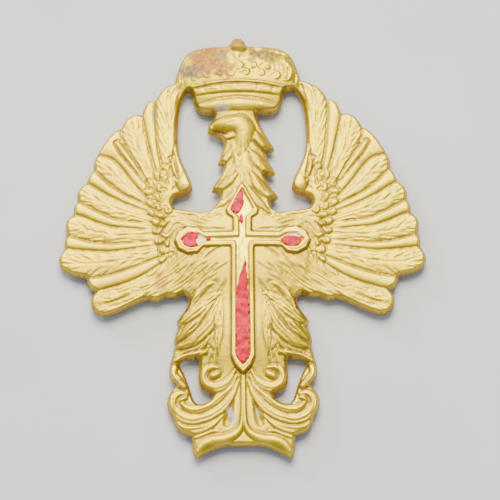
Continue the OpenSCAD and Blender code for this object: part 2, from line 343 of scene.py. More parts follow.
# ---- wings, right side
INNER_EDGE = [[6.3, 21.4], [6.85, 19.4], [7.1, 17.4], [7.2, 15.4], [7.1, 13.4], [6.8, 12.0]]
GROOVES = [
    [[9.35, 18.9], [9.4, 17.0], [9.25, 15.0], [9.15, 13.5], [8.9, 12.0]],
    [[10.95, 17.2], [10.6, 15.6], [10.3, 14.2], [10.0, 12.9], [9.6, 11.5]],
    [[13.2, 15.6], [13.05, 14.5], [12.65, 13.4], [12.05, 12.2], [11.4, 11.0], [10.8, 10.0]],
    [[15.7, 12.7], [14.3, 12.3], [13.4, 11.5], [12.7, 10.6], [11.9, 9.5], [11.2, 8.7]],
    [[16.05, 11.0], [15.3, 10.2], [14.5, 9.4], [13.5, 8.6], [12.4, 7.9], [11.0, 7.2]],
    [[16.8, 9.5], [15.9, 8.95], [15.0, 8.35], [14.0, 7.8], [12.8, 7.2], [10.6, 6.3]],
    [[17.7, 7.4], [16.8, 6.9], [15.8, 6.35], [14.7, 5.8], [13.4, 5.3], [10.2, 4.9]],
    [[18.2, 6.0], [17.2, 5.7], [16.2, 5.25], [15.0, 4.8], [13.7, 4.5], [10.2, 4.2]],
    [[18.8, 3.6], [17.8, 3.3], [16.6, 2.95], [15.2, 2.75], [13.6, 2.65], [10.0, 2.9]],
    [[19.1, 2.2], [17.9, 2.05], [16.4, 1.9], [15.0, 1.8], [13.6, 1.85], [9.8, 2.35]],
    [[16.8, -1.15], [15.5, -1.0], [14.2, -0.75], [12.8, -0.35], [11.4, 0.15], [9.0, 1.1]],
    [[15.8, -2.6], [14.6, -2.3], [13.2, -1.9], [11.8, -1.4], [10.5, -0.75], [8.6, 0.5]],
]
UNDERSIDE = [[13.4, -5.4], [12.0, -4.9], [10.6, -4.4], [9.2, -4.2], [7.6, -3.6], [6.2, -3.2]]
LINES = [INNER_EDGE] + GROOVES + [UNDERSIDE]
WIDE = range(0, 13, 2)      # gaps between those lines that hold a wide feather


def long_line(points, out=2.4, back=1.5):
    """A groove drawn on straight past both of its ends."""
    p = np.asarray(points, float)
    first, final = p[0] - p[1], p[-1] - p[-2]
    return np.vstack([p[0] + out * first / np.hypot(*first), curve(p, 5),
                      p[-1] + back * final / np.hypot(*final)])


def feather_flow():
    """Guides that leave each wide feather's shaft at a slant, towards its two edges."""
    lines = []
    for points in LINES:
        path = curve(np.asarray(points, float))[::-1]
        at = np.linspace(0, len(path) - 1, 13)
        lines.append(np.stack([np.interp(at, np.arange(len(path)), path[:, k]) for k in (0, 1)], 1))
    guides = []
    for k in WIDE:
        shaft = (lines[k] + lines[k + 1]) / 2
        for side in lines[k:k + 2]:
            guides += [[shaft[j], (shaft[j + 2] + side[j + 2]) / 2, side[j + 4] * 0.8 + shaft[j + 4] * 0.2]
                       for j in range(9)]
    return guides


def feathers():
    """The fan of wide and narrow flight feathers between the grooves."""
    box = canvas.window((5.0, -6.0), (20.4, 22.0))
    x, y = canvas.x[box], canvas.y[box]
    away, side = np.moveaxis([nearest_on(long_line(np.asarray(points, float) + (0, -0.15)), x, y)[:2]
                              for points in LINES], 1, 0)
    band = np.sum(side[1:-1] > 0, axis=0)
    before = np.take_along_axis(away, band[None], 0)[0]
    after = np.take_along_axis(away, band[None] + 1, 0)[0]
    t = (before - after) / (before + after + 1e-6)
    width = (before + after) / 2
    root = np.hypot(x - 7.6, y - 4.6)
    out = smoothstep(3.0, 9.0, root)
    wide = np.isin(band, list(WIDE))
    ridge = np.where(wide, (1 - t * t) ** 0.36, (1 - t * t) ** 0.5) * (0.11 + 0.1 * out)
    ridge = ridge * smoothstep(0.05, 0.6, width) + np.where(wide, 0, 0.02)
    ridge = ridge - 0.1 * np.exp(-(np.minimum(before, after) / 0.06) ** 2)
    shaft = np.exp(-((t + 0.05) * width / 0.075) ** 2) * smoothstep(0.5, 4.0, root)
    fine = wide * smoothstep(0.2, 0.6, width)
    shown = (smoothstep(-0.1, 0.3, away[0] * side[0]) * smoothstep(-0.1, 0.3, -away[-1] * side[-1])
             * smoothstep(2.0, 3.8, root) * smoothstep(5.3, 8.3, x + 0.4 * np.maximum(y, 0)))
    canvas.detail[box] = shown * (ridge - 0.05 * shaft * fine)
    canvas.cuts[box] *= 1 - shown * (1 - fine * smoothstep(1.0, 0.86, np.abs(t)))
    # a shorter feather that lies on the fourth one
    stroke([[10.6, 9.8], [11.8, 11.5], [12.9, 13.0], [13.55, 14.0]],
           [0.2, 0.4, 0.52, 0.42], [0.12, 0.22, 0.27, 0.24], "soft", over=0.08, ribs=(3, 0.02), dy=-0.2)


def barbs(area, guides, seed, dy, gap, length, width, depth):
    """Engraves fine short lines over an area. They run the way that the nearest guides do."""
    pick = np.random.default_rng(seed)
    lines = [curve(np.asarray(guide, float) + (0, dy)) for guide in guides]
    spots = np.vstack([line[:-1] for line in lines])
    heads = np.vstack([np.diff(line, axis=0) / np.hypot(*np.diff(line, axis=0).T)[:, None] for line in lines])

    def heading(p):
        pull = (heads / (((spots - p) ** 2).sum(1) + 0.12)[:, None] ** 2).sum(0)
        return pull / np.hypot(*pull)

    ring = np.asarray(area, float) + (0, dy)
    low, high = ring.min(0), ring.max(0)
    count = int(np.prod(high - low) / (gap[0] * gap[1]))
    seeds = pick.uniform(low, high, (count, 2))
    for p in seeds[even_odd([ring], seeds)]:
        reach = pick.uniform(*length) / 4
        path = [p]
        for _ in range(4):
            path.append(path[-1] + heading(path[-1]) * reach)
        path = np.array(path)
        size, deep = pick.uniform(*width), pick.uniform(*depth)
        box = canvas.window(path.min(0) - 0.2, path.max(0) + 0.2)
        away, _, where = nearest_on(path, canvas.x[box], canvas.y[box])
        taper = np.interp(where / 4, (0, 0.2, 0.6, 1), (0.2, 1, 0.9, 0.1))
        cut = deep * taper * PROFILES["bell"](away / (size * (0.5 + 0.5 * taper)))
        canvas.cuts[box] = np.maximum(canvas.cuts[box], cut)


# Small scales where the flight feathers start: place, size and turn
COVERTS = [
    [8.75, 0.85, 0.9, 0.3], [8.7, 1.9, 1.0, -0.2], [9.15, 3.0, 1.1, 0.2], [9.4, 4.1, 1.0, -0.3],
    [9.45, 5.2, 1.15, 0.2], [9.95, 6.3, 1.0, -0.1], [10.1, 7.35, 1.1, 0.3], [10.2, 8.5, 1.15, -0.2],
    [9.95, 9.6, 1.1, 0.1], [9.2, 10.6, 1.1, 0.4], [8.4, 11.4, 1.0, -0.1], [7.7, 12.3, 0.8, 0.2],
    [8.1, 2.6, 0.8, -0.3], [8.5, 3.7, 0.9, 0.3], [8.6, 4.8, 0.8, -0.4], [9.0, 5.9, 1.0, 0.3],
    [9.15, 7.0, 0.9, 0.0], [9.2, 8.1, 1.0, 0.4], [9.0, 9.2, 1.0, -0.2], [8.3, 10.2, 0.9, 0.3],
    [8.2, 6.6, 0.8, -0.3],
]


def coverts():
    """Overlapping scales that fan out from the shoulder."""
    for x, y, size, turn in COVERTS:
        heading = math.atan2(y - 5.4, x - 5.6) + turn
        out = np.array([math.cos(heading), math.sin(heading)])
        side = np.array([-out[1], out[0]]) * 0.15 * rng.normal()
        place = np.array([x, y - 0.3])
        stroke([place - out * 0.75 * size, place - out * 0.3 * size + side, place],
               [0.22 * size, 0.42 * size, 0.4 * size], [0.05, 0.14, 0.17], "flat", over=0.055,
               ribs=(1.5, 0.02))


def shoulder():
    """The smooth bend of the wing beside the opening."""
    stroke([[6.95, 14.6], [7.0, 12.8], [6.75, 11.2], [6.4, 10.0], [6.15, 9.3]],
           [0.25, 0.45, 0.75, 1.0, 1.0], [0.12, 0.2, 0.3, 0.42, 0.48], "round", over=0.04, dy=-0.25)
    stroke([[7.35, 12.7], [7.5, 11.8], [7.3, 10.8], [7.0, 10.0]], [0.1, 0.3, 0.34, 0.12],
           [0.1, 0.26, 0.3, 0.2], "soft", over=0.08, dy=-0.3)
    groove([[6.2, 10.9], [6.8, 10.0], [7.2, 9.2], [7.6, 8.8]], 0.14, 0.08, dy=-0.3)


# ---- breast and thighs, right side
BODY_FLOW = [
    [[1.6, 2.2], [3.0, 1.2], [4.6, -0.3], [6.5, -1.8], [8.0, -2.8]],
    [[1.5, 0.6], [2.8, -0.3], [4.2, -1.5], [4.9, -2.6]],
    [[5.5, 1.2], [7.0, 0.0], [9.0, -1.4], [12.0, -3.0], [14.5, -4.0]],
    [[2.3, -2.9], [4.0, -3.6], [5.4, -4.9], [6.8, -6.2]],
    [[2.4, -3.4], [3.2, -5.2], [4.6, -7.0], [7.1, -8.4]],
    [[2.1, -3.6], [2.3, -5.6], [2.5, -7.6], [2.6, -9.6]],
    [[3.0, -5.8], [3.6, -7.4], [4.6, -8.6], [6.0, -9.3]],
    [[1.2, 4.6], [2.6, 4.6], [4.2, 5.0], [6.0, 5.6]],
    [[7.4, 5.6], [8.2, 4.4], [8.6, 3.0], [8.5, 1.4], [8.9, 0.2]],
    [[1.3, -0.8], [1.8, -1.8], [2.3, -3.0]],
    [[5.0, -0.4], [6.2, -1.6], [8.0, -2.7], [10.0, -3.5], [12.0, -4.5]],
    [[5.2, 6.2], [6.6, 6.0], [7.6, 6.6]],
]
BODY_AREA = [
    [1.3, 5.9], [4.0, 6.0], [6.6, 6.4], [8.8, 6.0], [8.9, 3.4], [8.6, 1.2], [10.5, -0.6], [13.6, -2.6],
    [13.6, -4.6], [12.0, -4.5], [9.5, -3.9], [6.3, -3.2], [5.7, -3.7], [6.8, -6.2], [7.2, -8.4],
    [5.0, -9.4], [2.7, -9.6], [2.3, -6.0], [2.2, -3.0], [1.25, -1.0],
]


def breast():
    """Fine barbs that sweep out from the cross to the wings and down over the thighs."""
    barbs(BODY_AREA, BODY_FLOW, 1, -0.4, (0.28, 1.2), (1.4, 3.0), (0.09, 0.13), (0.08, 0.16))


def thigh():
    """Low pointed tufts, each with its tip on the outline, drawn from the lowest up."""
    tufts = (
        ([[3.4, -6.6], [4.4, -8.2], [5.8, -9.1], [7.5, -9.7]],
         [0.3, 0.65, 0.55, 0.12], [0.08, 0.17, 0.2, 0.16]),
        ([[2.5, -3.6], [3.2, -5.6], [4.6, -7.4], [5.9, -8.3], [7.25, -8.7]],
         [0.3, 0.8, 0.85, 0.66, 0.1], [0.06, 0.16, 0.24, 0.27, 0.2]),
        ([[3.0, -3.0], [4.0, -4.4], [5.3, -6.2], [6.2, -7.2], [7.1, -8.1]],
         [0.25, 0.65, 0.7, 0.45, 0.1], [0.06, 0.18, 0.26, 0.26, 0.2]),
        ([[2.4, -2.9], [3.8, -3.6], [5.2, -4.9], [6.1, -5.7], [6.9, -6.15]],
         [0.2, 0.65, 0.8, 0.55, 0.1], [0.06, 0.18, 0.27, 0.27, 0.2]),
        ([[3.0, -1.7], [4.1, -2.3], [5.0, -3.3], [5.7, -4.4]],
         [0.15, 0.42, 0.45, 0.1], [0.05, 0.14, 0.2, 0.16]),
        ([[2.3, -3.4], [2.5, -5.4], [2.6, -7.6], [2.7, -9.7]],
         [0.2, 0.5, 0.5, 0.06], [0.05, 0.1, 0.14, 0.08]),
    )
    for points, width, rise in tufts:
        stroke(points, width, rise, "soft", over=0.05, dy=-0.3, ribs=(3, 0.035))
    for points in ([[3.6, -8.5], [3.4, -8.9], [3.1, -9.2]], [[5.2, -8.7], [6.2, -9.0], [7.2, -9.0]]):
        groove(points, 0.12, 0.12, dy=-0.3)


def claw():
    """The leg across the top of the lower opening and the toe down its outer side."""
    stroke([[3.9, -9.4], [5.2, -9.6], [6.4, -9.9], [7.4, -10.25]], [0.3, 0.42, 0.45, 0.3],
           [0.2, 0.3, 0.34, 0.26], "soft", over=0.05, dy=-0.2)
    stroke([[7.35, -11.0], [7.5, -11.8], [7.0, -12.5], [6.3, -13.1]], [0.42, 0.62, 0.6, 0.35],
           [0.34, 0.48, 0.48, 0.34], "round", over=0.08, dy=-0.2)
    groove([[7.0, -11.2], [7.1, -12.0], [6.5, -12.6]], 0.12, 0.07, dy=-0.2)


# ---- scrolls and foot, right side
def scrolls():
    """Broad smooth bands that lie against each other on the swollen field."""
    bands = (
        # the lowest band
        ([[1.2, -13.9], [2.5, -16.0], [3.7, -17.0], [5.2, -17.5], [6.4, -17.35], [7.2, -16.8]],
         [0.12, 0.48, 0.78, 0.86, 0.74, 0.42], [0.05, 0.1, 0.13, 0.15, 0.15, 0.12], (3, 0.03)),
        # the broad plume whose end curls in on itself
        ([[0.5, -12.4], [1.2, -13.9], [2.4, -15.4], [4.0, -16.3], [5.5, -16.55], [6.7, -16.1],
          [7.35, -15.2], [7.3, -14.3], [6.75, -13.85], [6.15, -13.95]],
         [0.2, 0.45, 0.65, 0.75, 0.75, 0.75, 0.7, 0.6, 0.5, 0.35],
         [0.07, 0.11, 0.13, 0.15, 0.17, 0.19, 0.21, 0.22, 0.22, 0.19], (3.5, 0.035)),
        ([[6.0, -14.3], [6.35, -14.35], [6.6, -14.8], [6.4, -15.3]],
         [0.2, 0.42, 0.5, 0.36], [0.19, 0.24, 0.26, 0.21], (2, 0.03)),
        ([[0.7, -11.9], [1.5, -13.1], [2.6, -14.3], [3.8, -15.15], [5.0, -15.55], [5.9, -15.4],
          [6.45, -14.95]],
         [0.2, 0.4, 0.52, 0.56, 0.56, 0.5, 0.34], [0.1, 0.15, 0.18, 0.2, 0.21, 0.22, 0.2], (2.5, 0.03)),
        # the small inner volute, and its eye
        ([[0.85, -11.3], [1.5, -12.4], [2.3, -13.0], [3.2, -13.15], [3.95, -12.75], [4.25, -11.95],
          [4.0, -11.3], [3.4, -11.0], [2.75, -11.1], [2.4, -11.5]],
         [0.15, 0.45, 0.62, 0.66, 0.6, 0.52, 0.46, 0.42, 0.34, 0.2],
         [0.08, 0.14, 0.18, 0.21, 0.23, 0.24, 0.24, 0.24, 0.23, 0.2], (2.5, 0.03)),
        ([[2.75, -11.7], [3.2, -11.9]], 0.5, 0.22, (1, 0.03)),
    )
    for points, width, rise, ribs in bands:
        stroke(points, width, rise, "soft", over=0.085, dy=-0.25, ribs=ribs)


def foot():
    """Centre stem that parts into two arms, with a hollow drop on each side."""
    stroke([[1.0, -14.4], [1.35, -15.6], [1.7, -16.8], [1.8, -17.2]], [0.1, 0.36, 0.55, 0.45],
           [-0.08, -0.24, -0.3, -0.2], "soft", mode="add", dy=-0.15)
    stroke([[0.1, -11.9], [0.12, -14.0], [0.15, -16.2], [0.3, -17.5], [0.9, -18.3], [2.1, -18.8],
            [3.3, -18.95], [4.3, -19.4], [4.95, -20.2]],
           [0.16, 0.2, 0.24, 0.36, 0.5, 0.58, 0.6, 0.55, 0.35],
           [0.3, 0.22, 0.2, 0.22, 0.24, 0.25, 0.24, 0.22, 0.18], "soft", over=0.07, dy=-0.15)
    stroke([[2.6, -17.95], [3.6, -18.0], [4.6, -18.35], [5.3, -18.75]], [0.1, 0.25, 0.3, 0.2],
           [0.06, 0.13, 0.15, 0.12], "soft", over=0.05, dy=-0.15)


# ---- head, neck and crown, whole width
NECK_FLOW = [
    [[0.0, 15.0], [-0.3, 13.0], [-0.5, 11.0], [-0.6, 9.6]],
    [[0.9, 15.4], [1.4, 14.6], [2.4, 13.9], [3.4, 13.2]],
    [[0.8, 13.4], [1.4, 12.5], [2.4, 11.3], [3.5, 10.5]],
    [[0.6, 11.4], [1.2, 10.0], [2.4, 8.6], [3.8, 7.8]],
    [[0.4, 9.8], [1.2, 8.2], [2.4, 6.6], [4.0, 5.4]],
    [[-1.0, 14.4], [-1.2, 13.2], [-1.8, 12.2], [-2.5, 11.6]],
    [[-0.8, 11.4], [-1.4, 10.2], [-2.2, 9.4], [-3.1, 8.7]],
    [[-0.6, 9.6], [-1.4, 8.0], [-2.4, 6.8], [-4.0, 5.8]],
]


def neck():
    """Long locks that end in points on the outline, the upper ones over the lower."""
    locks = (
        ([[0.9, 10.8], [1.8, 9.4], [2.8, 8.4], [3.8, 7.7]],
         [0.3, 0.75, 0.65, 0.08], [0.14, 0.27, 0.32, 0.24]),
        ([[0.3, 9.6], [1.0, 8.4], [2.0, 7.2], [3.0, 6.2]],
         [0.2, 0.45, 0.5, 0.15], [0.1, 0.16, 0.18, 0.1]),
        ([[0.9, 13.2], [1.6, 12.2], [2.5, 11.2], [3.5, 10.4]],
         [0.35, 0.78, 0.66, 0.08], [0.14, 0.28, 0.34, 0.24]),
        ([[1.2, 15.6], [1.6, 14.9], [2.4, 14.0], [3.45, 13.15]],
         [0.3, 0.6, 0.56, 0.08], [0.08, 0.24, 0.32, 0.24]),
        ([[-0.6, 10.6], [-1.4, 9.8], [-2.2, 9.2], [-3.1, 8.6]],
         [0.25, 0.55, 0.5, 0.08], [0.14, 0.26, 0.3, 0.22]),
        ([[-0.6, 8.8], [-1.4, 7.9], [-2.2, 7.3], [-2.9, 6.8]],
         [0.2, 0.4, 0.42, 0.15], [0.1, 0.16, 0.18, 0.1]),
        ([[-1.1, 13.4], [-1.5, 12.7], [-2.0, 12.1], [-2.55, 11.55]],
         [0.25, 0.48, 0.42, 0.08], [0.14, 0.24, 0.28, 0.2]),
    )
    for points, width, rise in locks:
        stroke(points, width, np.multiply(rise, 0.86), "soft", over=0.05, dy=-0.5, ribs=(4, 0.025))
    stroke([[-0.4, 15.0], [-0.7, 13.6], [-0.5, 12.2], [-0.5, 10.8]],
           [0.3, 0.6, 0.5, 0.12], [0.06, 0.12, 0.12, 0.04], "soft", mode="add", dy=-0.5)
    barbs([[-0.9, 14.2], [0.9, 14.8], [3.4, 13.3], [3.3, 10.6], [3.6, 7.9], [4.2, 6.0], [1.3, 6.3],
           [0.1, 9.6], [-1.5, 6.3], [-4.2, 6.2], [-2.7, 8.6], [-2.4, 11.8], [-1.6, 13.6]],
          NECK_FLOW, 2, -0.5, (0.26, 1.3), (1.8, 3.4), (0.075, 0.11), (0.05, 0.1))


def head():
    """A smooth domed skull that runs on into the throat, and an open hooked beak."""
    stroke([[-0.2, 13.2], [0.1, 14.6], [0.15, 15.7], [-0.3, 16.35], [-1.3, 16.4]],
           [0.5, 1.05, 1.45, 1.35, 0.9], [0.04, 0.2, 0.34, 0.42, 0.4], "soft", over=0.02, dy=-0.55)
    stroke([[-1.1, 15.0], [-1.9, 14.85], [-2.7, 15.0], [-3.2, 15.15]], [0.4, 0.38, 0.26, 0.08],
           [0.2, 0.28, 0.26, 0.18], "round", over=0.06, dy=-0.5)
    stroke([[-1.0, 16.4], [-2.1, 16.4], [-3.0, 16.2], [-3.5, 15.8], [-3.6, 15.45]],
           [1.1, 0.85, 0.62, 0.4, 0.12], [0.38, 0.39, 0.38, 0.34, 0.26], "soft", dy=-0.5)
    stroke([[-3.3, 15.75], [-2.7, 15.55], [-2.0, 15.3], [-1.3, 15.0]], [0.07, 0.15, 0.15, 0.06],
           [-0.08, -0.24, -0.24, -0.08], "bell", mode="add", dy=-0.5)
    stroke([[-0.3, 16.95], [-1.0, 16.9], [-1.6, 16.6]],
           [0.1, 0.2, 0.1], [0.03, 0.08, 0.03], "soft", mode="add", dy=-0.55)
    groove([[-0.75, 16.55], [-1.1, 16.5], [-1.4, 16.35]], 0.1, 0.08, dy=-0.55)
    groove([[-1.5, 17.3], [0.0, 17.6], [0.8, 17.1], [1.4, 16.2], [2.2, 15.0], [2.8, 14.0]], 0.12,
           [0.06, 0.08, 0.07, 0.05, 0.03], dy=-0.55)
    groove([[1.3, 14.3], [2.0, 13.6], [2.7, 13.1], [3.3, 13.0]], 0.14, [0.1, 0.16, 0.12], dy=-0.5)


def crown():
    """Cushion with a fold along its edge, worn fleurons, a jewelled band and a fluted roll."""
    x0 = CROWN_X
    strip = {"profile": "flat", "over": 0.05, "dy": -0.55}
    worn = {"profile": "soft", "mode": "add", "dy": -0.6}
    stroke(np.add([[-4.6, 18.25], [-2.5, 18.5], [0, 18.65], [2.5, 18.5], [4.6, 18.25]], (x0, 0)),
           [0.4, 0.65, 0.78, 0.65, 0.4], [0.16, 0.24, 0.28, 0.24, 0.16], "soft", over=0.05, dy=-0.55)
    groove(np.add([[-3.8, 18.95], [-2.2, 19.35], [0, 19.55], [2.2, 19.35], [3.8, 18.95]], (x0, 0)),
           0.1, [0.04, 0.08, 0.04], dy=-0.55)
    for k in range(15):
        x = x0 - 2.3 + 0.33 * k
        drop = 0.01 * (k - 7) ** 2
        groove([[x, 19.4 - drop], [x + 0.02, 18.8 - drop]], 0.08, 0.06, dy=-0.55)
    lower = np.add([[-5.1, 19.75], [-2.6, 20.15], [0, 20.3], [2.6, 20.15], [5.1, 19.75]], (x0, 0))
    stroke(lower + (0, 0.2), [0.35, 0.5, 0.55, 0.5, 0.35], [0.1, 0.15, 0.17, 0.15, 0.1], **strip)
    stroke(lower + (0, 0.95), 0.2, [0.14, 0.2, 0.23, 0.2, 0.14], **strip)
    for x in (-4.1, -2.3, -0.3, 1.7, 3.4):
        y = 20.75 - 0.024 * (x - x0) ** 2
        groove([[x, y + 0.3], [x + 0.03, y - 0.3]], 0.1, 0.09, dy=-0.55)
        stroke([[x + 0.45, y + 0.05], [x + 1.35, y + 0.05]],
               [0.1, 0.17, 0.1], 0.06, "soft", mode="add", dy=-0.55)
    # the fold inside the outline
    for fold, depth in (
            ([[6.25, 21.4], [6.35, 22.8], [5.8, 24.0], [4.6, 24.6], [2.0, 24.75]],
             [0.16, 0.16, 0.14, 0.1, 0.03]),
            ([[-6.1, 21.6], [-6.2, 22.8], [-5.6, 24.0], [-4.4, 24.6], [-2.0, 24.75]],
             [0.12, 0.14, 0.12, 0.08, 0.03])):
        groove(np.add(fold, (x0, 0)), 0.2, depth, dy=-0.6)
    stroke([[-0.6, 24.9], [-0.5, 24.3], [-0.4, 23.7]], [0.42, 0.36, 0.12], [0.14, 0.12, 0.03], **worn)
    for x, y, r in ((-1.15, 22.35, 0.4), (-0.3, 23.15, 0.42)):
        stroke([[x - r, y], [x, y + r], [x + r, y], [x, y - r], [x - r, y]], 0.13, 0.1, **worn)
        stroke([[x, y - 0.05], [x, y + 0.05]], 0.17, 0.08, "round", mode="add", dy=-0.6)
    for x, y, r, turn, start in (
            (0.5, 22.3, 0.42, 1, 0.2), (2.15, 22.25, 0.42, 1, 0.6), (3.75, 21.95, 0.58, 1, 0.1),
            (-2.3, 22.3, 0.4, -1, 0.3), (-3.7, 22.1, 0.48, -1, 0.5), (-5.1, 21.8, 0.4, -1, 0.1),
            (1.35, 23.1, 0.26, 1, 1.1), (3.0, 22.95, 0.26, -1, 1.3)):
        arc = np.linspace(start, start + 1.55 * math.pi, 9)
        spiral = r * np.linspace(1, 0.45, 9)
        curl = np.stack([x - turn * spiral * np.cos(arc), y + spiral * np.sin(arc)], 1)
        stroke(curl + rng.normal(0, 0.02, (9, 2)), [0.08, 0.15, 0.12], [0.07, 0.11, 0.1], **worn)
    stroke([[4.6, 21.5], [5.2, 21.6], [5.5, 22.4], [5.3, 23.2], [4.8, 23.6]],
           [0.1, 0.2, 0.24, 0.22, 0.1], 0.12, **worn)
    box = canvas.window((-7.4, 20.4), (6.6, 25.4))
    x, y = canvas.x[box], canvas.y[box]
    pits = 0.05 * noise(x + 60, y + 60, 0.55, 71) + 0.035 * noise(x + 60, y + 60, 0.25, 72)
    canvas.detail[box] += pits * smoothstep(20.9, 21.6, y)
    # ornament on top
    stroke([[x0 + 0.05, 24.5], [x0 + 0.1, 25.0], [x0 + 0.15, 25.5]],
           [0.5, 0.95, 0.6], [0.1, 0.5, 0.45], "soft", dy=-0.4)
    stroke([[x0 - 0.5, 25.05], [x0 + 0.1, 25.2], [x0 + 0.8, 25.0]],
           [0.12, 0.16, 0.12], 0.08, "soft", mode="add", dy=-0.4)


# ---- the cross
CROSS = [
    [0, 9.2], [0.75, 7.8], [1.75, 6.05], [1.6, 5.5], [1.0, 5.1], [0.97, 3.55], [4.15, 3.55],
    [4.75, 4.05], [5.9, 4.15], [6.85, 3.65], [7.3, 2.7], [6.9, 1.75], [5.9, 1.2], [4.85, 1.3],
    [4.2, 1.95], [1.3, 1.95], [1.2, 1.6], [1.25, -10.1], [0.85, -11.1], [0, -12.0],
]
CELLS = [
    [0, 8.4], [0.55, 7.4], [1.22, 6.1], [0.9, 5.55], [0.4, 5.2], [0.35, 2.95], [3.95, 2.95],
    [4.7, 3.35], [5.8, 3.4], [6.6, 2.7], [5.9, 1.95], [4.8, 1.95], [3.95, 2.5], [0.85, 2.5],
    [0.68, 2.1], [0.76, -9.9], [0.5, -10.5], [0, -11.1],
]


def inside_distance(half, x, y):
    """Distance inside a symmetric outline, given the points of its right half."""
    p = np.asarray(half, float)
    ring = np.vstack([p, (p[p[:, 0] > 0] * (-1, 1))[::-1]])
    away = nearest_on(np.vstack([ring, ring[:1]]), x, y)[0]
    return np.where(even_odd([ring], np.stack([x, y], -1).reshape(-1, 2)).reshape(x.shape), away, -away)


def cross(total):
    """Stands the bordered cross on the finished heights and sinks its cells."""
    box = canvas.window((-8, -13), (8, 10))
    x, y = canvas.x[box], canvas.y[box]
    border = inside_distance(CROSS, x, y)
    cell = inside_distance(CELLS, x, y)
    under = total[box]
    top = blurred(total, 1.6)[box] + 0.3
    top = np.clip(top, CROSS_TOP - 0.45, CROSS_TOP) + 0.02 * noise(x + 9, y + 9, 1.3, 11)
    top = top - 0.07 * np.exp(-((border - 0.27) / 0.06) ** 2) - 0.12 * smoothstep(0.16, 0.0, border)
    under = under - 0.08 * np.exp(-((border + 0.06) / 0.07) ** 2)
    up = smoothstep(-0.08, 0.06, border)
    raised = under * (1 - up) + top * up
    down = smoothstep(-0.08, 0.06, cell)
    floor = top - 0.24 + 0.02 * noise(x + 9, y + 9, 0.5, 12)
    total[box] = raised * (1 - down) + floor * down


# ---- the whole relief
def broad_form():
    """The swelling shapes that the details ride on."""
    canvas.form[:] = 0.3
    raise_to(0.3 + bump(8.8, 5.0, 9.5, 13.0, 0.42, 1.0))
    raise_to(0.3 + bump(0.0, 1.5, 9.5, 9.5, 1.2, 0.9))
    raise_to(0.3 + bump(0.5, -6.0, 7.5, 7.0, 0.95, 0.8))
    raise_to(0.3 + bump(0.0, -15.0, 9.5, 6.5, 0.42, 0.4))
    mirrored()


def build_relief():
    """Heights of the whole face: the right half first, its mirror image, then what isn't symmetric."""
    broad_form()
    barbs([[6.2, 21.5], [9.4, 19.2], [12.0, 18.0], [14.5, 15.0], [17.0, 11.5], [19.0, 7.0], [20.0, 1.0],
           [17.0, -3.0], [15.5, -5.0], [11.0, -4.6], [9.5, -1.0], [9.3, 4.0], [9.8, 8.0], [7.6, 11.5],
           [7.0, 14.0]], feather_flow(), 3, -0.15, (0.3, 1.0), (0.9, 1.9), (0.09, 0.13), (0.05, 0.1))
    feathers()
    coverts()
    shoulder()
    breast()
    thigh()
    claw()
    foot()
    scrolls()
    mirrored()
    raise_to(along_form([[0.1, 4.6], [0.1, 8.0], [0.1, 11.5], [0.1, 14.5], [-0.4, 16.3]],
                        [4.6, 3.6, 3.2, 2.9, 3.0], [1.45, 1.3, 1.25, 1.25, 1.2]), 0.2)
    raise_to(bump(CROWN_X, 21.2, 7.2, 5.2, 1.4, 0.5), 0.2)
    neck()
    head()
    crown()
    total = canvas.form + canvas.detail - canvas.cuts
    roll = np.clip((edge - FLANGE) / ROLL, 0, 1)
    total = (1 - (1 - roll) ** 2.4) ** 0.55 * total
    cross(total)
    return total


relief = build_relief()
back_relief = np.maximum(np.minimum(blurred(relief, 0.3), relief + 0.25), 0)


# ---- meshes
def filled(rings, inner):
    """Triangles over the area inside the rings through the inner points. The rings' points come first."""
    borders, start = [], 0
    for ring in rings:
        n = len(ring)
        borders += [(start + k, start + (k + 1) % n) for k in range(n)]
        start += n
    points = np.vstack(list(rings) + [inner])
    _, _, triangles, origin, _, _ = delaunay_2d_cdt([Vector(p) for p in points], borders, [], 0, 1e-7, True)
    triangles = np.array([[origin[v][0] for v in tri] for tri in triangles])
    return triangles[even_odd(rings, points[triangles].mean(1))].tolist()


def clipped_grid():
    """Points and faces of the canvas's grid, cut off along the trimmed outline."""
    x, y, d = node_x.copy(), node_y.copy(), node_edge.copy()
    gy, gx = np.gradient(node_edge, CELL)
    steep = np.maximum(gx * gx + gy * gy, 0.25)
    near = np.abs(d) < SNAP
    x[near] -= (d * gx / steep)[near]
    y[near] -= (d * gy / steep)[near]
    d[near] = 0

    def corners(field):
        return np.stack([field[:-1, :-1], field[:-1, 1:], field[1:, 1:], field[1:, :-1]], -1).reshape(-1, 4)

    number = corners(np.arange(d.size).reshape(d.shape))
    depth = corners(d)
    points = np.stack([x.ravel(), y.ravel()], 1).tolist()
    useful = depth.max(1) > 0
    whole = useful & (depth.min(1) >= 0)
    faces = number[whole].tolist()
    cuts = {}
    for cell in np.nonzero(useful & ~whole)[0]:
        ring = []
        for k in range(4):
            here, there = int(number[cell, k]), int(number[cell, k - 3])
            a, b = depth[cell, k], depth[cell, k - 3]
            if a >= 0:
                ring.append(here)
            if a * b < 0:
                key = (min(here, there), max(here, there))
                if key not in cuts:
                    cuts[key] = len(points)
                    points.append([(p * b - q * a) / (b - a) for p, q in zip(points[here], points[there])])
                ring.append(cuts[key])
        if len(ring) > 2:
            faces.append(ring)
    used = sorted({v for face in faces for v in face})
    renumber = {old: new for new, old in enumerate(used)}
    return np.array([points[v] for v in used]), [[renumber[v] for v in face] for face in faces]


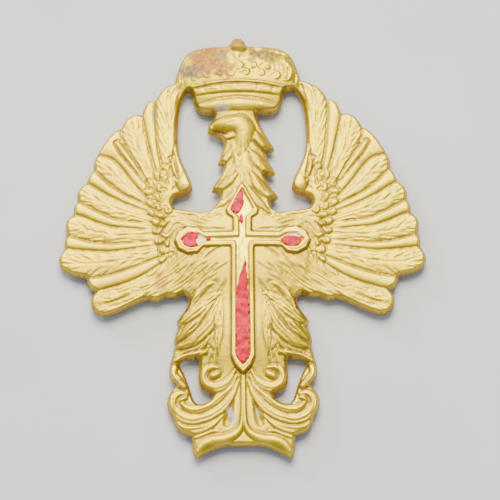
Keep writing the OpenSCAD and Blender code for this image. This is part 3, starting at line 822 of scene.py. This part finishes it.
def border_rings(faces):
    """Rings of point numbers along the edges that belong to one face only."""
    once = set()
    for face in faces:
        for a, b in zip(face, face[1:] + face[:1]):
            if (b, a) in once:
                once.remove((b, a))
            else:
                once.add((a, b))
    following = {}
    for a, b in once:
        following.setdefault(a, []).append(b)
    rings = []
    while following:
        start = next(iter(following))
        ring, here = [], start
        while not ring or here != start:
            ring.append(here)
            ahead = following[here].pop()
            if not following[here]:
                del following[here]
            here = ahead
        rings.append(ring)
    return rings


def add_mesh(name, points, faces, sharp=()):
    """An object from points in the drawing's millimetres, shaded smooth except at the sharp edges."""
    mesh = bpy.data.meshes.new(name)
    mesh.from_pydata(((np.asarray(points) - (0, MID_Y, 0)) * MM).tolist(), [], faces)
    mesh.shade_smooth()
    if sharp:
        sharp = {(min(pair), max(pair)) for pair in sharp}
        marks = [tuple(sorted(e.vertices)) in sharp for e in mesh.edges]
        mesh.attributes.new("sharp_edge", "BOOLEAN", "EDGE").data.foreach_set("value", marks)
    obj = bpy.data.objects.new(name, mesh)
    bpy.context.collection.objects.link(obj)
    return obj


def paint(obj, name, values):
    """A value, or a colour, for each of a mesh's points."""
    values = np.asarray(values, float)
    kind, field = ("FLOAT", "value") if values.ndim == 1 else ("FLOAT_COLOR", "color")
    obj.data.attributes.new(name, kind, "POINT").data.foreach_set(field, values.ravel())


def drawn(obj):
    """x, y and z of a mesh's points, in the drawing's millimetres."""
    co = np.empty(len(obj.data.vertices) * 3)
    obj.data.vertices.foreach_get("co", co)
    return (co.reshape(-1, 3) / MM + (0, MID_Y, 0)).T


def shell():
    """The stamping: its relief in front, the same shapes softened behind, and the cut edge between."""
    flat, faces = clipped_grid()
    rings = border_rings(faces)
    border = np.zeros(len(flat), bool)
    border[np.concatenate(rings)] = True
    height = np.where(border, -0.03, canvas.sample(relief, flat[:, 0], flat[:, 1]))
    front = np.column_stack([flat, RIM_FACE + height])
    step = BACK_CELLS
    coarse = node_edge[::step, ::step] > 0.5 * step * CELL
    inner = np.stack([node_x[::step, ::step][coarse], node_y[::step, ::step][coarse]], 1)
    ring_points = [flat[ring] for ring in rings]
    back_flat = np.vstack(ring_points + [inner])
    rise = canvas.sample(back_relief, back_flat[:, 0], back_flat[:, 1])
    rise[:-len(inner)] = 0
    back = np.column_stack([back_flat, SHELL_LOW + rise])
    n = len(front)
    faces += [[n + v for v in reversed(tri)] for tri in filled(ring_points, inner)]
    sharp, start = [], n
    for ring in rings:
        for k, a in enumerate(ring):
            m = (k + 1) % len(ring)
            faces.append([ring[m], a, start + k, start + m])
            sharp += [(a, ring[m]), (start + k, start + m)]
        start += len(ring)
    obj = add_mesh("struck_shell_visual", np.vstack([front, back]), faces, sharp)
    x, y, z = drawn(obj)
    # hollow and valley measure creases and ridges; the brass material paints shade in the creases and a
    # highlight on the ridges from them
    for name, reach, full in (("hollow", 0.3, 0.16), ("valley", 1.1, 0.5)):
        paint(obj, name, canvas.sample(np.clip((relief - blurred(relief, reach)) / full, -1, 1), x, y))
    paint(obj, "bare", smoothstep(-0.1, 0.12, inside_distance(CELLS, x, y)) * (z > RIM_FACE + 1))
    # steep marks the steep walls, which the brass material tints darker brown as painted shade
    steep = np.hypot(*np.gradient(relief, canvas.step))
    paint(obj, "steep", canvas.sample(smoothstep(0.7, 1.8, blurred(steep, 0.11)), x, y))
    paint(obj, "behind", np.arange(len(front) + len(back)) >= n)
    paint(obj, "rim", smoothstep(FLANGE + 0.12, FLANGE - 0.08, canvas.sample(edge, x, y)))
    return obj


# ---- materials
class Paint:
    """A material whose nodes are made by short calls. Sockets given as values are linked."""

    def __init__(self, name):
        self.material = bpy.data.materials.new(name)
        self.material.use_nodes = True
        self.tree = self.material.node_tree
        self.tree.nodes.clear()
        self.shader = self.tree.nodes.new("ShaderNodeBsdfPrincipled")
        output = self.tree.nodes.new("ShaderNodeOutputMaterial")
        self.tree.links.new(self.shader.outputs[0], output.inputs[0])

    def put(self, socket, value):
        if isinstance(value, bpy.types.NodeSocket):
            self.tree.links.new(value, socket)
        elif socket.type == "RGBA":
            socket.default_value = (*value, 1)
        else:
            socket.default_value = value

    def add(self, kind, settings=(), inputs=(), output=0):
        node = self.tree.nodes.new("ShaderNode" + kind)
        for name, value in dict(settings).items():
            setattr(node, name, value)
        for name, value in dict(inputs).items():
            self.put(node.inputs[name], value)
        return node.outputs[output]

    def attribute(self, name, output="Fac"):
        return self.add("Attribute", {"attribute_name": name}, output=output)

    def place(self, scale=(1, 1, 1)):
        """The object's own coordinates in metres, stretched if wanted."""
        here = self.add("TexCoord", output="Object")
        return here if scale == (1, 1, 1) else self.add("Mapping", (), {"Vector": here, "Scale": scale})

    def noise(self, per_mm, detail=3.0, roughness=0.55, scale=(1, 1, 1)):
        return self.add("TexNoise", (), {"Vector": self.place(scale), "Scale": per_mm / MM, "Detail": detail,
                                         "Roughness": roughness})

    def ramp(self, value, stops, ease="LINEAR"):
        node = self.tree.nodes.new("ShaderNodeValToRGB")
        node.color_ramp.interpolation = ease
        while len(node.color_ramp.elements) < len(stops):
            node.color_ramp.elements.new(0.5)
        for element, (at, colour) in zip(node.color_ramp.elements, stops):
            element.position = at
            element.color = (*colour, 1) if isinstance(colour, tuple) else (colour, colour, colour, 1)
        self.put(node.inputs[0], value)
        return node.outputs[0]

    def math(self, operation, a, b, clamp=False):
        return self.add("Math", {"operation": operation, "use_clamp": clamp}, {0: a, 1: b})

    def times(self, a, b):
        return self.math("MULTIPLY", a, b)

    def mix(self, share, a, b):
        return self.add("Mix", {"data_type": "RGBA"}, {0: share, 6: a, 7: b}, 2)

    def between(self, share, low, high):
        """A number from low to high."""
        return self.add("MapRange", (), {"Value": share, "To Min": low, "To Max": high})

    def bump(self, height, distance, strength, under=None):
        inputs = {"Height": height, "Distance": distance * MM, "Strength": strength}
        if under is not None:
            inputs["Normal"] = under
        return self.add("Bump", (), inputs)

    def finish(self, **sockets):
        for name, value in sockets.items():
            self.put(self.shader.inputs[name.replace("_", " ")], value)
        return self.material


def aged_brass():
    """Olive-gold brass with painted shade in the creases, a painted highlight on the ridges and painted brown
    shade on steep walls; brighter along the rim and in bare cells, with patches of tarnish.
    """
    m = Paint("aged_brass")
    patch = m.noise(0.28, 4.0, 0.6)
    cloud = m.noise(0.9, 3.0, 0.55)
    hollow = m.attribute("hollow")
    # painted shade and highlight: the hollow and valley measures darken the colour in creases and lighten it
    # on ridges; cloud adds random tone
    light = m.math("ADD", m.times(hollow, 0.4), m.times(m.attribute("valley"), 0.22))
    light = m.math("ADD", light, m.times(m.math("SUBTRACT", cloud, 0.5), 0.5))
    light = m.math("ADD", light, 0.56, clamp=True)
    base = m.ramp(light, [(0.0, (0.08, 0.036, 0.002)), (0.25, (0.30, 0.185, 0.006)),
                          (0.5, (0.62, 0.44, 0.010)), (0.78, (0.86, 0.63, 0.012)), (1.0, (1.0, 0.79, 0.020))])
    dull = m.ramp(m.noise(0.5, 4.0, 0.65), [(0.3, (0.16, 0.10, 0.02)), (0.7, (0.42, 0.29, 0.04))])
    for where, share, tint in (
            (m.ramp(patch, [(0.42, 0.0), (0.66, 1.0)]), 0.35, (0.50, 0.30, 0.05)),
            (m.ramp(patch, [(0.3, 1.0), (0.46, 0.0)]), 0.35, (0.38, 0.33, 0.05)),
            # painted shade: steep walls tinted darker brown
            (m.attribute("steep"), 0.6, (0.44, 0.27, 0.085)),
            (m.attribute("rim"), 0.4, (0.80, 0.60, 0.06)),
            (m.attribute("bare"), 0.8, (1.0, 0.86, 0.03)),
            (m.attribute("behind"), 0.6, dull)):
        base = m.mix(m.times(where, share), base, tint)
    much = m.times(m.attribute("stain", "Alpha"), m.between(m.attribute("behind"), 1.0, 0.0))
    broken = m.math("MULTIPLY", much, m.ramp(m.noise(2.6, 4.0, 0.65), [(0.3, 0.45), (0.6, 1.0)]), clamp=True)
    base = m.mix(broken, base, m.attribute("stain", "Color"))
    rough = m.between(m.math("SUBTRACT", cloud, m.times(hollow, 0.3)), 0.38, 0.56)
    rough = m.math("ADD", rough, m.times(broken, 0.2), clamp=True)
    # metallic drops where the painted crease shade is darkest
    metal = m.times(m.ramp(light, [(0.05, 0.6), (0.4, 1.0)]), m.between(broken, 1.0, 0.35))
    surface = m.bump(m.noise(2.2, 4.0, 0.6), 0.035, 0.9, m.bump(m.noise(7.0, 2.0, 0.6), 0.02, 0.8))
    return m.finish(Base_Color=base, Metallic=metal, Roughness=rough, Normal=surface)


CREAM, TRACE = (0.88, 0.84, 0.52), (0.30, 0.07, 0.03)
COPPER, ROSE, LILAC = (0.29, 0.09, 0.03), (0.42, 0.14, 0.065), (0.13, 0.09, 0.10)
# Middle, half width and height, colour, strength, seed, and turn and raggedness if not as usual
STAINS = (
    (-4.55, 2.7, 0.5, 0.6, CREAM, 0.9, 15),
    # painted highlight: a cream patch along the top of the right lobe
    (5.7, 3.2, 1.0, 0.3, CREAM, 0.95, 16),
    (-2.1, 2.82, 1.3, 0.1, TRACE, 0.85, 17),
    (2.6, 2.8, 1.6, 0.1, TRACE, 0.75, 18),
    (0.0, 2.5, 0.12, 0.4, TRACE, 0.8, 19),
    (-0.3, 0.8, 0.1, 1.6, TRACE, 0.5, 20),
    (-4.0, 22.9, 3.2, 2.3, COPPER, 0.85, 1),
    (-5.4, 22.2, 1.5, 1.1, LILAC, 0.85, 2),
    (-3.6, 22.6, 0.9, 0.6, ROSE, 0.85, 3),
    (-4.9, 23.9, 0.9, 0.6, ROSE, 0.6, 21),
    (-2.0, 23.5, 0.5, 0.4, (0.11, 0.15, 0.2), 0.8, 4),
    (-2.2, 24.6, 2.4, 0.6, COPPER, 0.7, 5),
    (2.6, 23.8, 2.2, 0.8, (0.13, 0.05, 0.045), 0.8, 6, -0.2),
    (1.2, 23.2, 0.6, 0.4, (0.18, 0.08, 0.08), 0.6, 7),
    (-0.4, 25.3, 1.0, 1.0, (0.42, 0.16, 0.03), 0.85, 8),
    (-9.6, 17.6, 0.35, 1.6, (0.13, 0.24, 0.1), 0.6, 9),
    (-2.2, 17.6, 0.9, 0.5, (0.45, 0.47, 0.36), 0.7, 10),
    (-1.35, -16.3, 0.5, 1.5, (0.5, 0.56, 0.58), 0.85, 11, 0.25),
    (1.5, -16.4, 0.4, 1.0, (0.42, 0.47, 0.46), 0.5, 12, -0.25),
    (13.2, 11.6, 0.5, 0.35, ROSE, 0.4, 22),
    (15.8, -4.3, 0.6, 0.9, COPPER, 0.4, 23),
    (-15.6, -4.2, 0.6, 0.8, COPPER, 0.3, 24),
    # painted shade: copper-brown under the rounded ends of both shoulders
    (6.3, 8.6, 0.9, 0.5, COPPER, 0.45, 25),
    (-6.4, 8.6, 0.9, 0.5, COPPER, 0.4, 26),
    (7.1, -12.7, 0.8, 0.8, COPPER, 0.4, 27),
    (-7.2, -13.0, 0.7, 0.6, COPPER, 0.35, 28),
    (0.6, 16.8, 0.8, 0.6, COPPER, 0.25, 29),
    (-2.3, 14.98, 1.15, 0.22, (0.16, 0.05, 0.02), 0.95, 30, -0.3, 0.2),
    (-8.8, -1.8, 0.8, 1.4, ROSE, 0.45, 13),
    (-14.5, 2.6, 0.9, 0.5, ROSE, 0.35, 14),
)


def stained(obj):
    """Patches of old tarnish and deposits, with a painted highlight on the right lobe and painted shade under
    the shoulders' ends, painted one over the other.
    """
    x, y, _ = drawn(obj)
    colour = np.zeros((len(x), 4))

    def spot(x0, y0, rx, ry, tint, strength, seed, turn=0.0, ragged=0.5):
        c, s = math.cos(turn), math.sin(turn)
        u, v = ((x - x0) * c + (y - y0) * s) / rx, ((y - y0) * c - (x - x0) * s) / ry
        wander = 0.7 * noise(x + 50, y + 50, 1.1, 20 + seed) + 0.5 * noise(x + 50, y + 50, 0.45, 40 + seed)
        share = strength * smoothstep(1.05, 0.55, np.hypot(u, v) + ragged * wander)
        new = 1 - (1 - share) * (1 - colour[:, 3])
        blend = np.where(new > 0, share / np.maximum(new, 1e-6), 0)[:, None]
        colour[:, :3] = colour[:, :3] * (1 - blend) + np.array(tint) * blend
        colour[:, 3] = new

    for row in STAINS:
        spot(*row)
    paint(obj, "stain", colour)


def enamel():
    """Old red enamel: glassy, a little uneven, with pale worn specks."""
    m = Paint("red_enamel")
    cloud = m.noise(1.3, 4.0, 0.6)
    base = m.ramp(cloud, [(0.36, (0.42, 0.001, 0.014)), (0.5, (0.64, 0.001, 0.026)),
                          (0.64, (0.84, 0.004, 0.045))])
    worn = m.times(m.ramp(m.noise(3.4, 3.0, 0.6), [(0.52, 0.0), (0.62, 1.0)]),
                   m.between(m.attribute("thin"), 0.05, 1.0))
    base = m.mix(worn, base, (0.92, 0.62, 0.56))
    dark = m.ramp(m.noise(2.1, 2.0), [(0.28, 0.4), (0.38, 0.0)])
    base = m.mix(dark, base, (0.22, 0.02, 0.03))
    surface = m.bump(m.noise(2.4, 3.0), 0.04, 0.5)
    return m.finish(Base_Color=base, Metallic=0.0, Roughness=m.between(worn, 0.34, 0.6), Normal=surface,
                    Specular_IOR_Level=0.11)


def flake(node, outline, seed, thickness=0.3, chips=0.09):
    """What is left of the enamel in one place: a thin pool with a chipped edge on the cell's floor."""
    ring = evenly(curve(outline + outline[:1]), 0.06, 24)
    ring = ring + chips * np.stack([noise(*(ring.T + 9), 0.3, seed + k) for k in (0, 1)], 1)
    low, high = ring.min(0), ring.max(0)
    grid = np.meshgrid(np.arange(low[0], high[0], 0.07), np.arange(low[1], high[1], 0.07))
    grid = np.stack(grid, -1).reshape(-1, 2)
    edge_line = np.vstack([ring, ring[:1]])
    inner = grid[even_odd([ring], grid) & (nearest_on(edge_line, *grid.T)[0] > 0.045)]
    places = np.vstack([ring, inner])
    n, m = len(places), len(ring)
    away = nearest_on(edge_line, *places.T)[0]
    away[:m] = 0
    floor = RIM_FACE + canvas.sample(relief, *places.T)
    swell = np.sqrt(1 - (1 - np.clip(away / 0.15, 0, 1)) ** 2)
    top = floor + 0.1 + (thickness - 0.1) * swell * (1 + 0.2 * noise(*(places.T + 9), 0.5, seed + 2))
    points = np.vstack([np.column_stack([places, top]), np.column_stack([ring, floor[:m] - 0.04])])
    ahead = np.roll(ring, -1, 0)
    turn = 1 if np.sum(ring[:, 0] * ahead[:, 1] - ahead[:, 0] * ring[:, 1]) > 0 else -1
    faces = filled([ring], inner)
    faces += [[k, (k + 1) % m, n + (k + 1) % m, n + k][::-turn] for k in range(m)]
    faces.append(list(range(n, n + m))[::-turn])
    obj = add_mesh(node + "_visual", points, faces, [(k, (k + 1) % m) for k in range(n, n + m)])
    paint(obj, "thin", np.concatenate([smoothstep(0.11, 0.0, away), np.ones(m)]))
    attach(obj, "badge")
    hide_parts(node)
    obj.data.materials.append(red)


brass = aged_brass()
red = enamel()
badge = shell()
stained(badge)
badge.data.materials.append(brass)
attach(badge, "badge")
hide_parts("struck_shell")

flake("enamel_point", [[-0.12, 8.3], [-0.6, 7.4], [-1.22, 6.2], [-1.1, 5.8], [-0.65, 5.6], [-0.25, 5.75],
                       [0.1, 6.4], [0.15, 7.6]], 3)
flake("enamel_neck", [[-0.28, 5.45], [0.02, 5.5], [0.1, 4.9], [0.02, 4.45], [-0.25, 4.5]], 13, 0.26)
flake("enamel_left_lobe", [[-6.6, 2.7], [-6.1, 3.3], [-5.4, 3.5], [-4.8, 3.25], [-5.0, 2.6], [-4.85, 2.0],
                           [-5.95, 1.9]], 23)
flake("enamel_left_arm", [[-3.95, 2.88], [-3.5, 2.9], [-3.4, 2.7], [-3.9, 2.6]], 33, 0.24, 0.04)
flake("enamel_right_lobe", [[4.1, 2.65], [4.7, 3.05], [5.6, 3.0], [6.4, 2.75], [6.0, 2.0], [4.9, 1.95]], 43)
flake("enamel_blade", [[0.28, 1.0], [0.42, -0.6], [0.58, -2.4], [0.64, -6.0], [0.68, -9.8], [0.4, -10.5],
                       [0, -10.95], [-0.42, -10.5], [-0.7, -9.9], [-0.72, -6.4], [-0.68, -3.6],
                       [-0.5, -2.2], [-0.16, -1.0], [0.1, 0.2]], 53, chips=0.12)


# ---- prongs behind
def strip_brass():
    """Rolled brass strip: drawn lines along it, finger tarnish, and brighter rubbed edges."""
    m = Paint("strip_brass")
    lines = m.noise(9.0, 3.0, 0.6, (1, 0.06, 1))
    cloud = m.noise(0.8, 4.0, 0.6)
    base = m.ramp(cloud, [(0.3, (0.33, 0.20, 0.02)), (0.5, (0.56, 0.38, 0.05)), (0.7, (0.70, 0.50, 0.08))])
    base = m.mix(m.ramp(m.noise(3.0, 3.0), [(0.6, 0.0), (0.75, 0.6)]), base, (0.20, 0.12, 0.04))
    edges = m.add("NewGeometry", output=7)
    base = m.mix(m.ramp(edges, [(0.51, 0.0), (0.57, 0.7)]), base, (0.85, 0.66, 0.12))
    surface = m.bump(cloud, 0.03, 0.4, m.bump(lines, 0.02, 0.6))
    return m.finish(Base_Color=base, Metallic=0.95, Roughness=m.between(cloud, 0.3, 0.5), Normal=surface)


def dull_solder():
    """Grey tin solder, frosted and pitted, with brown flux left in its low places."""
    m = Paint("solder")
    cloud = m.noise(1.1, 4.0, 0.6)
    pits = m.noise(4.5, 3.0, 0.6)
    base = m.ramp(cloud, [(0.3, (0.22, 0.22, 0.21)), (0.55, (0.40, 0.40, 0.39)), (0.75, (0.52, 0.52, 0.50))])
    base = m.mix(m.ramp(pits, [(0.3, 0.8), (0.45, 0.0)]), base, (0.13, 0.085, 0.04))
    surface = m.bump(pits, 0.05, 0.7)
    return m.finish(Base_Color=base, Metallic=0.85, Roughness=m.between(pits, 0.6, 0.42), Normal=surface)


def solder_drop(node, seed):
    """A lumpy drop that fills the space between a prong's strip and the hollow above it."""
    low, high = (np.array(corner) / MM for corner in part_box(node))
    middle, radius = (low + high) / 2 + (0, MID_Y, 0), (high[0] - low[0]) / 2
    turns = np.linspace(0, 2 * math.pi, 48, endpoint=False)
    rings = []
    for share in np.linspace(0, 1, 13):
        swell = 0.72 + 0.1 * math.sin(4 * share) + 0.3 * share ** 3
        lumps = 0.09 * noise(2 * np.cos(turns) + 20, 2 * np.sin(turns) + 3 * share + 20, 0.9, seed)
        x = middle[0] + radius * (swell + lumps) * np.cos(turns)
        y = middle[1] + radius * (swell + lumps) * np.sin(turns)
        ceiling = SHELL_LOW + canvas.sample(back_relief, x, y) + 0.05
        rings.append(np.column_stack([x, y, low[2] + share * (ceiling - low[2])]))
    top = SHELL_LOW + canvas.sample(back_relief, middle[0], middle[1]) + 0.05
    points = np.vstack(rings + [[[middle[0], middle[1], low[2]], [middle[0], middle[1], top]]])
    n, m = len(turns), len(points)
    faces = [[i * n + k, i * n + (k + 1) % n, (i + 1) * n + (k + 1) % n, (i + 1) * n + k]
             for i in range(len(rings) - 1) for k in range(n)]
    faces += [[m - 2, (k + 1) % n, k] for k in range(n)]
    faces += [[m - 1, m - 2 - n + k, m - 2 - n + (k + 1) % n] for k in range(n)]
    obj = add_mesh(node + "_visual", points, faces)
    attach(obj, "badge")
    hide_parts(node)
    obj.data.materials.append(tin)


strip, tin = strip_brass(), dull_solder()
solder_drop("upper_prong_solder", 61)
solder_drop("lower_prong_solder", 67)
for name in [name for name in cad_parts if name.endswith(("_base", "_leg"))]:
    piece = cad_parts[name]
    piece.data.materials.clear()
    piece.data.materials.append(strip)
    edges = piece.modifiers.new("worn edges", "BEVEL")
    edges.width, edges.segments, edges.angle_limit = 0.09 * MM, 3, math.radians(40)


# ---- floor, light and camera
def ground():
    """The pale table that the badge lies on."""
    m = Paint("pale_floor")
    tone = m.ramp(m.noise(0.05, 2.0), [(0.3, (0.62, 0.62, 0.62)), (0.7, (0.68, 0.68, 0.675))])
    bpy.ops.mesh.primitive_plane_add(size=3.0, location=(0, 0, 0))
    floor = bpy.context.object
    floor.name = "floor"
    floor.data.materials.append(m.finish(Base_Color=tone, Roughness=0.85))


def lamp(name, direction, distance, size, power, colour=(1, 1, 1)):
    """A round soft lamp that looks at the badge from a direction."""
    light = bpy.data.lights.new(name, "AREA")
    light.shape, light.size, light.energy, light.color = "DISK", size, power, colour
    obj = bpy.data.objects.new(name, light)
    towards = Vector(direction).normalized()
    obj.location = towards * distance
    obj.rotation_euler = towards.to_track_quat("Z", "Y").to_euler()
    bpy.context.collection.objects.link(obj)


ground()
lamp("key", (-0.01, 0.52, 1.0), 0.45, 0.28, 4.05, (1.0, 0.955, 0.82))
lamp("side", (-0.8, 0.9, 0.55), 0.5, 0.12, 1.3)
world = bpy.data.worlds.new("studio")
world.use_nodes = True
sky = world.node_tree
height = sky.nodes.new("ShaderNodeSeparateXYZ")
sky.links.new(sky.nodes.new("ShaderNodeTexCoord").outputs["Generated"], height.inputs[0])
shade = sky.nodes.new("ShaderNodeValToRGB")
low_end, high_end = shade.color_ramp.elements
low_end.position, low_end.color = 0.05, (0.24, 0.26, 0.34, 1)
high_end.position, high_end.color = 0.9, (0.64, 0.66, 0.72, 1)
sky.links.new(height.outputs[2], shade.inputs[0])
sky.links.new(shade.outputs[0], sky.nodes["Background"].inputs["Color"])
bpy.context.scene.world = world

# The camera stands above the badge's foot and looks at a point near its middle
roll, tilt_c, tilt_s = math.radians(-0.4), math.cos(TILT), math.sin(TILT)
right = Vector((math.cos(roll), math.sin(roll) * tilt_c, math.sin(roll) * tilt_s))
up = Vector((-math.sin(roll), math.cos(roll) * tilt_c, math.cos(roll) * tilt_s))
aim, reach = Vector((0.814, 2.224 - MID_Y, 0)), 260
camera_data = bpy.data.cameras.new("camera")
camera_data.sensor_width, camera_data.lens, camera_data.clip_start = 36, 172.2, 0.01
camera = bpy.data.objects.new("camera", camera_data)
back = right.cross(up)
turned = Matrix((right, up, back)).transposed().to_4x4()
camera.matrix_world = Matrix.Translation((aim + back * reach) * MM) @ turned
bpy.context.collection.objects.link(camera)
bpy.context.scene.camera = camera
